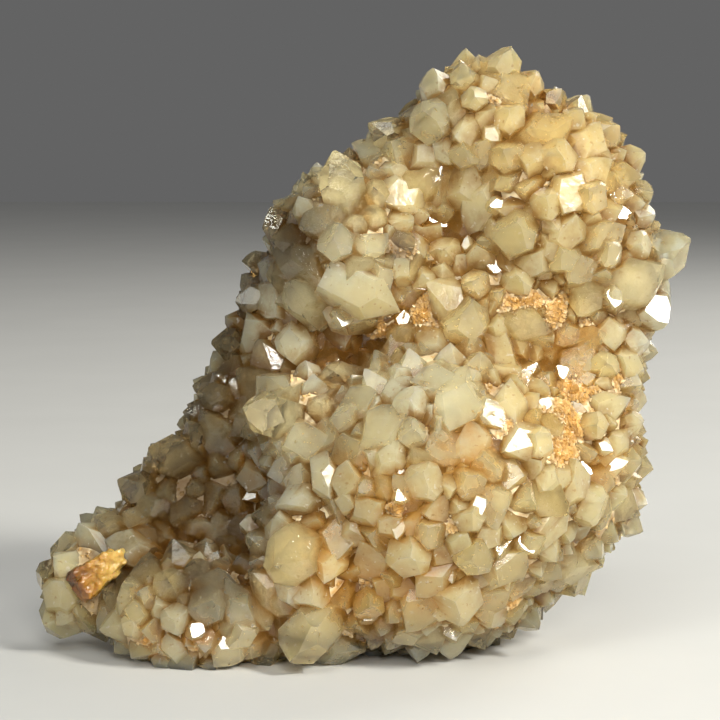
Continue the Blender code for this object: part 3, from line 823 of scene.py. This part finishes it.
def soften_edges(piece):
    """A narrow bevel along every outward edge, and none in the seams between crystals."""
    shape = bmesh.new()
    shape.from_mesh(piece.data)
    weights = shape.edges.layers.float.new("bevel_weight_edge")
    for edge in shape.edges:
        if edge.is_manifold and edge.is_convex and edge.calc_face_angle() > SHARP_FROM:
            edge[weights] = 1.0
    shape.to_mesh(piece.data)
    shape.free()
    bevel = piece.modifiers.new("edges", "BEVEL")
    bevel.width = EDGE_WIDTH
    bevel.segments = 1
    bevel.limit_method = "WEIGHT"
    bevel.use_clamp_overlap = True
    apply_modifiers(piece)


def mark_zones(mesh):
    """Write on each corner how far it is in each kind of zone: stains, tints, painted shade and painted light."""
    corners = np.empty(len(mesh.vertices) * 3, dtype=np.float32)
    mesh.vertices.foreach_get("co", corners)
    corners = corners.reshape(-1, 3)
    for name, (middles, reaches) in ZONE_BALLS.items():
        best = np.zeros(len(corners), dtype=np.float32)
        for middle, reach in zip(middles, reaches):
            gaps = np.linalg.norm(corners - middle, axis=1) / reach
            best = np.maximum(best, np.clip((1.0 + ZONE_SOFTNESS - gaps) / (2.0 * ZONE_SOFTNESS), 0.0, 1.0))
        if name in mesh.attributes:
            mesh.attributes.remove(mesh.attributes[name])
        add_values(mesh, name, "FLOAT", "POINT", best)


crystals.data.materials.clear()
for finish in QUARTZ_FINISHES:
    crystals.data.materials.append(finish)
mark_faces(crystals, loose)
bpy.data.objects.remove(loose)
soften_edges(crystals)
mark_zones(crystals.data)
crystals.data.calc_loop_triangles()
print("triangles of the crystals", len(crystals.data.loop_triangles))
looks_worn = np.bincount([polygon.material_index for polygon in crystals.data.polygons])
print("faces of each look", dict(zip(LOOKS, looks_worn.tolist())))

# %% [markdown]
# ## Grains in the seams
#
# Between the crystals the rock's skin is rough with small rusty grains of quartz. They are spread by Geometry
# Nodes over the skin, but only where no crystal covers it, and each is a little block with few faces.

# %% Where the rock is bare
BARE_REACH = 40.0 * MM
GRAINS_OFF_RUST = 0.12


def mark_bare(mesh, cover):
    """Mark the corners of the rock that no crystal covers."""
    bare = []
    for vertex in mesh.vertices:
        start = vertex.co + vertex.normal * OPEN_START
        _, facing, _, _ = cover.ray_cast(start, vertex.normal, BARE_REACH)
        bare.append(0.0 if facing is not None and facing.dot(vertex.normal) > 0.0 else 1.0)
    rusty = [value.value for value in mesh.attributes["gritty"].data]
    grainy = np.array(bare) * (GRAINS_OFF_RUST + (1.0 - GRAINS_OFF_RUST) * np.array(rusty))
    add_values(mesh, "bare", "FLOAT", "POINT", grainy)
    add_values(mesh, "covered", "FLOAT", "POINT", 1.0 - np.array(bare))
    return sum(bare) / len(bare)


cover_tree = BVHTree.FromObject(crystals, bpy.context.evaluated_depsgraph_get())
print("share of the rock that is bare", round(mark_bare(rock.data, cover_tree), 2))

# %% The scattering tree
GRAINY = bpy.data.materials.new("rusty_grains")


def scatter_tree():
    """Skin in, grains on its bare parts out."""
    tree = bpy.data.node_groups.new("scatter_grains", "GeometryNodeTree")
    sockets = tree.interface
    sockets.new_socket("Skin", in_out="INPUT", socket_type="NodeSocketGeometry")
    sockets.new_socket("Grain shapes", in_out="INPUT", socket_type="NodeSocketCollection")
    for name, kind in (("Density", "Float"), ("Smallest", "Float"), ("Largest", "Float"), ("Seed", "Int")):
        sockets.new_socket(name, in_out="INPUT", socket_type="NodeSocket" + kind)
    sockets.new_socket("Finish", in_out="INPUT", socket_type="NodeSocketMaterial")
    sockets.new_socket("Grains", in_out="OUTPUT", socket_type="NodeSocketGeometry")
    link = tree.links.new
    group_in = node_at(tree, "NodeGroupInput")
    group_out = node_at(tree, "NodeGroupOutput")
    thin_out = node_at(tree, "ShaderNodeMath", operation="MULTIPLY")
    spread = node_at(tree, "GeometryNodeDistributePointsOnFaces")
    size = node_at(tree, "FunctionNodeRandomValue", data_type="FLOAT")
    spin = node_at(tree, "FunctionNodeRandomValue", data_type="FLOAT_VECTOR")
    spin.inputs[1].default_value = (math.tau, math.tau, math.tau)
    pick = node_at(tree, "GeometryNodeCollectionInfo")
    pick.inputs["Separate Children"].default_value = True
    pick.inputs["Reset Children"].default_value = True
    place = node_at(tree, "GeometryNodeInstanceOnPoints")
    place.inputs["Pick Instance"].default_value = True
    realize = node_at(tree, "GeometryNodeRealizeInstances")
    finish = node_at(tree, "GeometryNodeSetMaterial")
    link(named_attribute(tree, "bare", "FLOAT"), thin_out.inputs[0])
    link(group_in.outputs["Density"], thin_out.inputs[1])
    link(group_in.outputs["Skin"], spread.inputs["Mesh"])
    link(thin_out.outputs[0], spread.inputs["Density"])
    link(group_in.outputs["Seed"], spread.inputs["Seed"])
    link(group_in.outputs["Smallest"], size.inputs["Min"])
    link(group_in.outputs["Largest"], next(s for s in size.inputs if s.name == "Max" and s.enabled))
    link(spread.outputs["Points"], place.inputs["Points"])
    link(group_in.outputs["Grain shapes"], pick.inputs["Collection"])
    link(pick.outputs[0], place.inputs["Instance"])
    link(next(s for s in spin.outputs if s.enabled), place.inputs["Rotation"])
    link(next(s for s in size.outputs if s.enabled), place.inputs["Scale"])
    link(place.outputs["Instances"], realize.inputs["Geometry"])
    link(realize.outputs["Geometry"], finish.inputs["Geometry"])
    link(group_in.outputs["Finish"], finish.inputs["Material"])
    link(finish.outputs["Geometry"], group_out.inputs["Grains"])
    return tree


print("scattering tree ready")

# %% Grains
GRAIN_SHAPES = 6
GRAIN_DENSITY = 9.0e6
GRAIN_SMALLEST = 0.25 * MM
GRAIN_LARGEST = 0.65 * MM
grain_rng = random.Random(31)
grain_shapes = bpy.data.collections.new("grain_shapes")
for number in range(GRAIN_SHAPES):
    shape = bmesh.new()
    bmesh.ops.create_cube(shape, size=1.0)
    for vertex in shape.verts:
        vertex.co = vertex.co * 0.9 + Vector([grain_rng.uniform(-0.22, 0.22) for _ in range(3)])
    block = bpy.data.meshes.new("grain_%02d" % number)
    shape.to_mesh(block)
    shape.free()
    grain_shapes.objects.link(bpy.data.objects.new(block.name, block))
grains = new_piece("rusty_grains", rock.data.copy())
scatter = grains.modifiers.new("scatter", "NODES")
scatter.node_group = scatter_tree()
grain_inputs = {"Grain shapes": grain_shapes, "Density": GRAIN_DENSITY, "Finish": GRAINY, "Seed": 3}
set_inputs(scatter, Smallest=GRAIN_SMALLEST, Largest=GRAIN_LARGEST, **grain_inputs)
apply_modifiers(grains)
for vertex in grains.data.vertices:
    vertex.co.z = max(vertex.co.z, 0.0)
mark_zones(grains.data)
mark_zones(rock.data)
grains.data.calc_loop_triangles()
print("grain triangles", len(grains.data.loop_triangles))

# %% [markdown]
# ## The finishes
#
# The real quartz lets light in, clouds it with fine veils and lets it out again, and it is stained by iron
# where crystals meet. Here each finish is a Principled shader with transmission and subsurface light. Its
# colour is built in layers: the crystal's own tone, the zone's tint (with painted shade in the dark zones and
# painted light in two pale ones), veils, white specks that are painted highlights, and rust and painted shade
# that deepen with how little open sky a corner has. All noises read the object's coordinates, so the stains
# stay on the stone.

# %% Shader helpers


def material_nodes(material):
    """Switch a material to nodes and give its tree, its shader and its output."""
    material.use_nodes = True
    tree = material.node_tree
    return tree, tree.nodes["Principled BSDF"], tree.nodes["Material Output"]


def mix_colors(tree, factor, first, second):
    """A mix of two colours. Each may be a socket or a plain colour."""
    mix = node_at(tree, "ShaderNodeMix", data_type="RGBA")
    for socket, value in ((mix.inputs[0], factor), (mix.inputs[6], first), (mix.inputs[7], second)):
        if isinstance(value, bpy.types.NodeSocket):
            tree.links.new(value, socket)
        elif isinstance(value, tuple):
            socket.default_value = (*value, 1.0)
        else:
            socket.default_value = value
    return mix.outputs[2]


def noise(tree, scale, detail=3.0, roughness=0.5):
    """A noise over the object's own coordinates."""
    place = node_at(tree, "ShaderNodeTexCoord")
    texture = node_at(tree, "ShaderNodeTexNoise")
    texture.inputs["Scale"].default_value = scale
    texture.inputs["Detail"].default_value = detail
    texture.inputs["Roughness"].default_value = roughness
    tree.links.new(place.outputs["Object"], texture.inputs["Vector"])
    return texture.outputs["Fac"]


def ramp(tree, source, low, high):
    """Stretch a value so that low gives 0 and high gives 1."""
    reach = node_at(tree, "ShaderNodeMapRange")
    reach.inputs["From Min"].default_value = low
    reach.inputs["From Max"].default_value = high
    tree.links.new(source, reach.inputs["Value"])
    return reach.outputs["Result"]


def face_value(tree, name):
    """A value that the mesh carries."""
    node = node_at(tree, "ShaderNodeAttribute", attribute_name=name)
    return node.outputs["Fac"]


print("shader helpers ready")

# %% Zones as masks


def ragged_group():
    """A shader group that eats ragged bites out of the rim of a zone."""
    group = bpy.data.node_groups.new("ragged_rim", "ShaderNodeTree")
    group.interface.new_socket("Zone", in_out="INPUT", socket_type="NodeSocketFloat")
    group.interface.new_socket("Ragged", in_out="INPUT", socket_type="NodeSocketFloat")
    group.interface.new_socket("Mask", in_out="OUTPUT", socket_type="NodeSocketFloat")
    group_in = node_at(group, "NodeGroupInput")
    group_out = node_at(group, "NodeGroupOutput")
    wobble = noise(group, 260.0, 4.0)
    bite = node_at(group, "ShaderNodeMath", operation="MULTIPLY")
    group.links.new(wobble, bite.inputs[0])
    group.links.new(group_in.outputs["Ragged"], bite.inputs[1])
    rest = node_at(group, "ShaderNodeMath", operation="SUBTRACT", use_clamp=True)
    group.links.new(group_in.outputs["Zone"], rest.inputs[0])
    group.links.new(bite.outputs[0], rest.inputs[1])
    group.links.new(rest.outputs[0], group_out.inputs["Mask"])
    return group


RAGGED = ragged_group()


def zone_mask(tree, name, ragged):
    """The mask of a kind of zone in a material."""
    node = node_at(tree, "ShaderNodeGroup", node_tree=RAGGED)
    tree.links.new(face_value(tree, name), node.inputs["Zone"])
    node.inputs["Ragged"].default_value = ragged
    return node.outputs["Mask"]


def math_of(tree, operation, first, second, clamp=True):
    """One sum of two values. Each may be a socket or a number."""
    node = node_at(tree, "ShaderNodeMath", operation=operation, use_clamp=clamp)
    for socket, value in zip(node.inputs, (first, second)):
        if isinstance(value, bpy.types.NodeSocket):
            tree.links.new(value, socket)
        else:
            socket.default_value = value
    return node.outputs[0]


print("ragged rim nodes", len(RAGGED.nodes))

# %% [markdown]
# ## Quartz, rock and grains
#
# Three quartz finishes differ only in how clear they are. A real cluster mixes clear and milky crystals, so
# each crystal wears one of the three. The rock under them is pale where crystals cover it, because light
# that enters a crystal is thrown back from there, and brown where it is bare.

# %% Quartz and rock
CREAM = (0.93, 0.87, 0.56)
SMOKY = (0.68, 0.58, 0.34)
# Pale tint of clearer quartz, also painted light at the bottom.
PALE_TINT_AND_LIGHT = (0.84, 0.90, 0.80)
YELLOW = (0.90, 0.84, 0.36)
AMBER = (0.92, 0.66, 0.26)
# Dark tint of the dark zones, partly painted shade.
DARK_TINT_AND_SHADE = (0.25, 0.20, 0.13)
RUST = (0.70, 0.36, 0.07)
# Deep rust and the seam colour below are real stains, and in the quartz's hollows also painted shade.
DEEP_RUST_AND_SHADE = (0.28, 0.12, 0.02)
# Dark rock, also painted shade in the dark zones.
DARK_ROCK_AND_SHADE = (0.12, 0.07, 0.03)
PALE_ROCK = (0.86, 0.75, 0.50)
SEAM_STAIN_AND_SHADE = (0.38, 0.19, 0.03)
# Near-white colour of specks that are painted highlights.
PAINTED_SPARKLE = (1.0, 0.98, 0.90)
VEIL = (0.97, 0.94, 0.76)


def bump(tree, height, strength, distance):
    """A bumped normal from a height."""
    node = node_at(tree, "ShaderNodeBump")
    node.inputs["Strength"].default_value = strength
    node.inputs["Distance"].default_value = distance
    tree.links.new(height, node.inputs["Height"])
    return node.outputs["Normal"]


def dress_quartz(material, transmission, subsurface, roughness):
    """Quartz that is pale at its tips and darker in the seams between the crystals, by rust stain and painted
    shade.
    """
    tree, shader, _ = material_nodes(material)
    tone = face_value(tree, "tone")
    body = mix_colors(tree, math_of(tree, "MULTIPLY", tone, 0.6), CREAM, SMOKY)
    # Pale zones: paler tint, and painted light at the bottom.
    body = mix_colors(tree, math_of(tree, "MULTIPLY", zone_mask(tree, "pale", 0.1), 0.9), body, PALE_TINT_AND_LIGHT)
    body = mix_colors(tree, math_of(tree, "MULTIPLY", zone_mask(tree, "amber", 0.2), 0.7), body, AMBER)
    body = mix_colors(tree, math_of(tree, "MULTIPLY", zone_mask(tree, "yellow", 0.3), 0.6), body, YELLOW)
    # Dark zones: darker tint and painted shade.
    body = mix_colors(tree, math_of(tree, "MULTIPLY", zone_mask(tree, "dusky", 0.1), 0.85), body, DARK_TINT_AND_SHADE)
    rust = zone_mask(tree, "rusty", 0.5)
    cloud = ramp(tree, noise(tree, 420.0, 5.0, 0.65), 0.38, 0.72)
    body = mix_colors(tree, math_of(tree, "MULTIPLY", cloud, 0.45), body, SMOKY)
    veil = ramp(tree, noise(tree, 190.0, 6.0, 0.7), 0.50, 0.72)
    body = mix_colors(tree, math_of(tree, "MULTIPLY", veil, 0.5), body, VEIL)
    # Painted shade over the real rust: the less open sky a corner has, the more its colour goes to seam brown and
    # deep rust.
    ragged = math_of(tree, "SUBTRACT", face_value(tree, "open"), math_of(tree, "MULTIPLY", cloud, 0.2))
    low = ramp(tree, ragged, 0.74, 0.34)
    seam_stain_and_shade = mix_colors(tree, rust, SEAM_STAIN_AND_SHADE, RUST)
    color = mix_colors(tree, math_of(tree, "MULTIPLY", low, 0.85), body, seam_stain_and_shade)
    color = mix_colors(tree, math_of(tree, "MULTIPLY", rust, ramp(tree, ragged, 1.0, 0.45)), color, RUST)
    deep_shade = ramp(tree, ragged, 0.46, 0.18)
    color = mix_colors(tree, math_of(tree, "MULTIPLY", deep_shade, 0.8), color, DEEP_RUST_AND_SHADE)
    specks = ramp(tree, noise(tree, 1500.0, 2.0), 0.66, 0.72)
    color = mix_colors(tree, math_of(tree, "MULTIPLY", specks, 0.55), color, SEAM_STAIN_AND_SHADE)
    # White specks as painted highlights.
    painted_sparkles = ramp(tree, noise(tree, 1100.0, 3.0, 0.6), 0.36, 0.30)
    color = mix_colors(tree, math_of(tree, "MULTIPLY", painted_sparkles, 0.8), color, PAINTED_SPARKLE)
    tree.links.new(color, shader.inputs["Base Color"])
    frost = node_at(tree, "ShaderNodeMapRange")
    frost.inputs["To Min"].default_value = roughness * 0.5
    frost.inputs["To Max"].default_value = roughness * 2.0
    tree.links.new(noise(tree, 160.0, 3.0), frost.inputs["Value"])
    tree.links.new(frost.outputs["Result"], shader.inputs["Roughness"])
    tree.links.new(bump(tree, noise(tree, 700.0, 4.0, 0.6), 0.22, 0.0003), shader.inputs["Normal"])
    shader.inputs["IOR"].default_value = 1.54
    shader.inputs["Transmission Weight"].default_value = transmission
    shader.inputs["Subsurface Weight"].default_value = subsurface
    shader.inputs["Subsurface Radius"].default_value = (1.0, 0.92, 0.7)
    shader.inputs["Subsurface Scale"].default_value = 0.004


def dress_rock(material, pale, dark, gloss):
    """Iron-stained rock or grains between and under the crystals; in the dark zones darker, partly as painted
    shade.
    """
    tree, shader, _ = material_nodes(material)
    body = mix_colors(tree, ramp(tree, noise(tree, 260.0, 6.0, 0.7), 0.40, 0.60), pale, dark)
    color = mix_colors(tree, zone_mask(tree, "rusty", 0.6), body, mix_colors(
        tree, ramp(tree, noise(tree, 700.0, 3.0), 0.4, 0.65), RUST, DEEP_RUST_AND_SHADE
    ))
    color = mix_colors(tree, math_of(tree, "MULTIPLY", face_value(tree, "covered"), 0.75), color, PALE_ROCK)
    # Dark zones: darker rock and painted shade.
    color = mix_colors(tree, math_of(tree, "MULTIPLY", zone_mask(tree, "dusky", 0.1), 0.85), color, DARK_ROCK_AND_SHADE)
    tree.links.new(color, shader.inputs["Base Color"])
    tree.links.new(bump(tree, noise(tree, 900.0, 5.0, 0.7), 0.7, 0.0004), shader.inputs["Normal"])
    shader.inputs["Roughness"].default_value = gloss


dress_quartz(MILKY, 0.72, 1.0, 0.12)
dress_quartz(HAZY, 0.86, 1.0, 0.09)
dress_quartz(CLEAR, 0.94, 0.0, 0.05)
dress_rock(STAINED, (0.66, 0.50, 0.29), (0.34, 0.20, 0.08), 0.6)
dress_rock(GRAINY, (0.72, 0.50, 0.23), (0.40, 0.22, 0.06), 0.12)
rock.data.materials.clear()
rock.data.materials.append(STAINED)
print("quartz nodes", {finish.name: len(finish.node_tree.nodes) for finish in QUARTZ_FINISHES})

# %% [markdown]
# ## The barite
#
# The barite is a sheaf of thin plates grown together, with a jagged crest. Its solid holds the plates as
# flat slabs. A copy of it is remeshed finely, softened and pitted, so that the plates run into one another
# as they do on the real crystal.

# %% The barite's plates run together
BARITE_VOXEL = 0.30 * MM
BARITE_SOFTENING = 5
BARITE_PITS = 0.55 * MM
PIT_SIZE = 1.6 * MM


def crested_barite():
    """The plates of the solid, merged, softened and pitted."""
    piece = new_piece("crested_barite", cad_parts["barite_crest"].data.copy())
    shape = bmesh.new()
    shape.from_mesh(piece.data)
    bmesh.ops.remove_doubles(shape, verts=shape.verts, dist=0.01 * MM)
    shape.to_mesh(piece.data)
    shape.free()
    merge = piece.modifiers.new("merge", "REMESH")
    merge.mode = "VOXEL"
    merge.voxel_size = BARITE_VOXEL
    ease = piece.modifiers.new("ease", "SMOOTH")
    ease.iterations = BARITE_SOFTENING
    apply_modifiers(piece)
    for vertex in piece.data.vertices:
        pit = mathutils_noise.noise(vertex.co / PIT_SIZE) + 0.5 * mathutils_noise.noise(vertex.co * 2.3 / PIT_SIZE)
        vertex.co += vertex.normal * BARITE_PITS * (pit - 0.15)
    return piece


barite = crested_barite()
print("barite faces", len(barite.data.polygons))

# %% Ochre, from brown at one end to straw at the crest
OCHRE = bpy.data.materials.new("ochre_barite")
BROWN_END = photo_point(68, 590).x
STRAW_END = photo_point(118, 568).x
OCHRE_STOPS = [
    (0.0, (0.06, 0.022, 0.006)), (0.25, (0.22, 0.08, 0.01)), (0.5, (0.40, 0.18, 0.022)),
    (0.75, (0.52, 0.28, 0.04)), (1.0, (0.62, 0.40, 0.11)),
]


def dress_barite(material):
    """A honey-brown crystal, banded along its length."""
    tree, shader, _ = material_nodes(material)
    place = node_at(tree, "ShaderNodeTexCoord")
    parts = node_at(tree, "ShaderNodeSeparateXYZ")
    tree.links.new(place.outputs["Object"], parts.inputs["Vector"])
    along = ramp(tree, parts.outputs["X"], BROWN_END, STRAW_END)
    uneven = math_of(tree, "SUBTRACT", noise(tree, 420.0, 5.0, 0.65), 0.5, clamp=False)
    mottled = math_of(tree, "ADD", along, math_of(tree, "MULTIPLY", uneven, 1.3, clamp=False))
    bands = node_at(tree, "ShaderNodeValToRGB")
    while len(bands.color_ramp.elements) < len(OCHRE_STOPS):
        bands.color_ramp.elements.new(0.5)
    for element, (spot, color) in zip(bands.color_ramp.elements, OCHRE_STOPS):
        element.position = spot
        element.color = (*color, 1.0)
    tree.links.new(mottled, bands.inputs["Fac"])
    tree.links.new(bands.outputs["Color"], shader.inputs["Base Color"])
    gloss = node_at(tree, "ShaderNodeMapRange")
    gloss.inputs["To Min"].default_value = 0.14
    gloss.inputs["To Max"].default_value = 0.5
    tree.links.new(noise(tree, 500.0, 3.0), gloss.inputs["Value"])
    tree.links.new(gloss.outputs["Result"], shader.inputs["Roughness"])
    tree.links.new(bump(tree, noise(tree, 1300.0, 4.0), 0.5, 0.0003), shader.inputs["Normal"])
    shader.inputs["IOR"].default_value = 1.64
    shader.inputs["Transmission Weight"].default_value = 0.2
    shader.inputs["Subsurface Weight"].default_value = 0.6
    shader.inputs["Subsurface Radius"].default_value = (1.0, 0.5, 0.15)
    shader.inputs["Subsurface Scale"].default_value = 0.0015


dress_barite(OCHRE)
barite.data.materials.clear()
barite.data.materials.append(OCHRE)
print("barite nodes", len(OCHRE.node_tree.nodes))

# %% [markdown]
# ## Floor and light
#
# The stone stands on a plain pale floor in a soft studio. The key light is small and high on the right, as
# the photograph's glints ask for. A front and a left light give the other glints, and two wide ones fill.

# %% Floor and light
FLOOR_HALF = 1.5


def floor_piece():
    """A plain pale floor."""
    mesh = bpy.data.meshes.new("floor")
    corners = [(-1, -1), (1, -1), (1, 1), (-1, 1)]
    mesh.from_pydata([(x * FLOOR_HALF, y * FLOOR_HALF, 0.0) for x, y in corners], [], [(0, 1, 2, 3)])
    floor = new_piece("floor", mesh)
    pale = bpy.data.materials.new("pale_floor")
    floor_tree, floor_shader, _ = material_nodes(pale)
    grain = mix_colors(floor_tree, noise(floor_tree, 30.0), (0.54, 0.54, 0.54), (0.58, 0.58, 0.58))
    floor_tree.links.new(grain, floor_shader.inputs["Base Color"])
    floor_shader.inputs["Roughness"].default_value = 0.7
    mesh.materials.append(pale)
    return floor


def area_light(name, spot, width, power, color):
    """A square light that faces the stone."""
    lamp = bpy.data.lights.new(name, "AREA")
    lamp.size = width
    lamp.energy = power
    lamp.color = color
    thing = bpy.data.objects.new(name, lamp)
    bpy.context.scene.collection.objects.link(thing)
    thing.location = Vector(spot)
    aim(thing, stone_middle)
    return thing


floor = floor_piece()
area_light("key", KEY_SPOT, 0.20, 10.6, (1.0, 0.98, 0.88))
area_light("front", FRONT_SPOT, 0.16, 3.4, (1.0, 0.98, 0.90))
area_light("left", LEFT_SPOT, 0.12, 0.9, (0.98, 1.0, 0.94))
area_light("rim", (0.5, 0.5, 0.5), 0.4, 3.6, (1.0, 0.97, 0.88))
area_light("overhead", (-0.15, -0.70, 0.80), 0.5, 3.6, (0.97, 1.0, 0.95))
world = bpy.data.worlds.new("studio")
bpy.context.scene.world = world
world.use_nodes = True
world.node_tree.nodes["Background"].inputs["Color"].default_value = (0.5, 0.5, 0.5, 1.0)
world.node_tree.nodes["Background"].inputs["Strength"].default_value = 0.25
bpy.context.scene.view_settings.view_transform = "Standard"

# %% [markdown]
# ## Hand over
#
# Rock, crystals and grains stand in for the quartz solid, and the finer barite for the barite solid.

# %% Hand over
for piece in (rock, crystals, grains):
    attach(piece, "root")
    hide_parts("quartz_druse")
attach(barite, "root")
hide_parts("barite_crest")
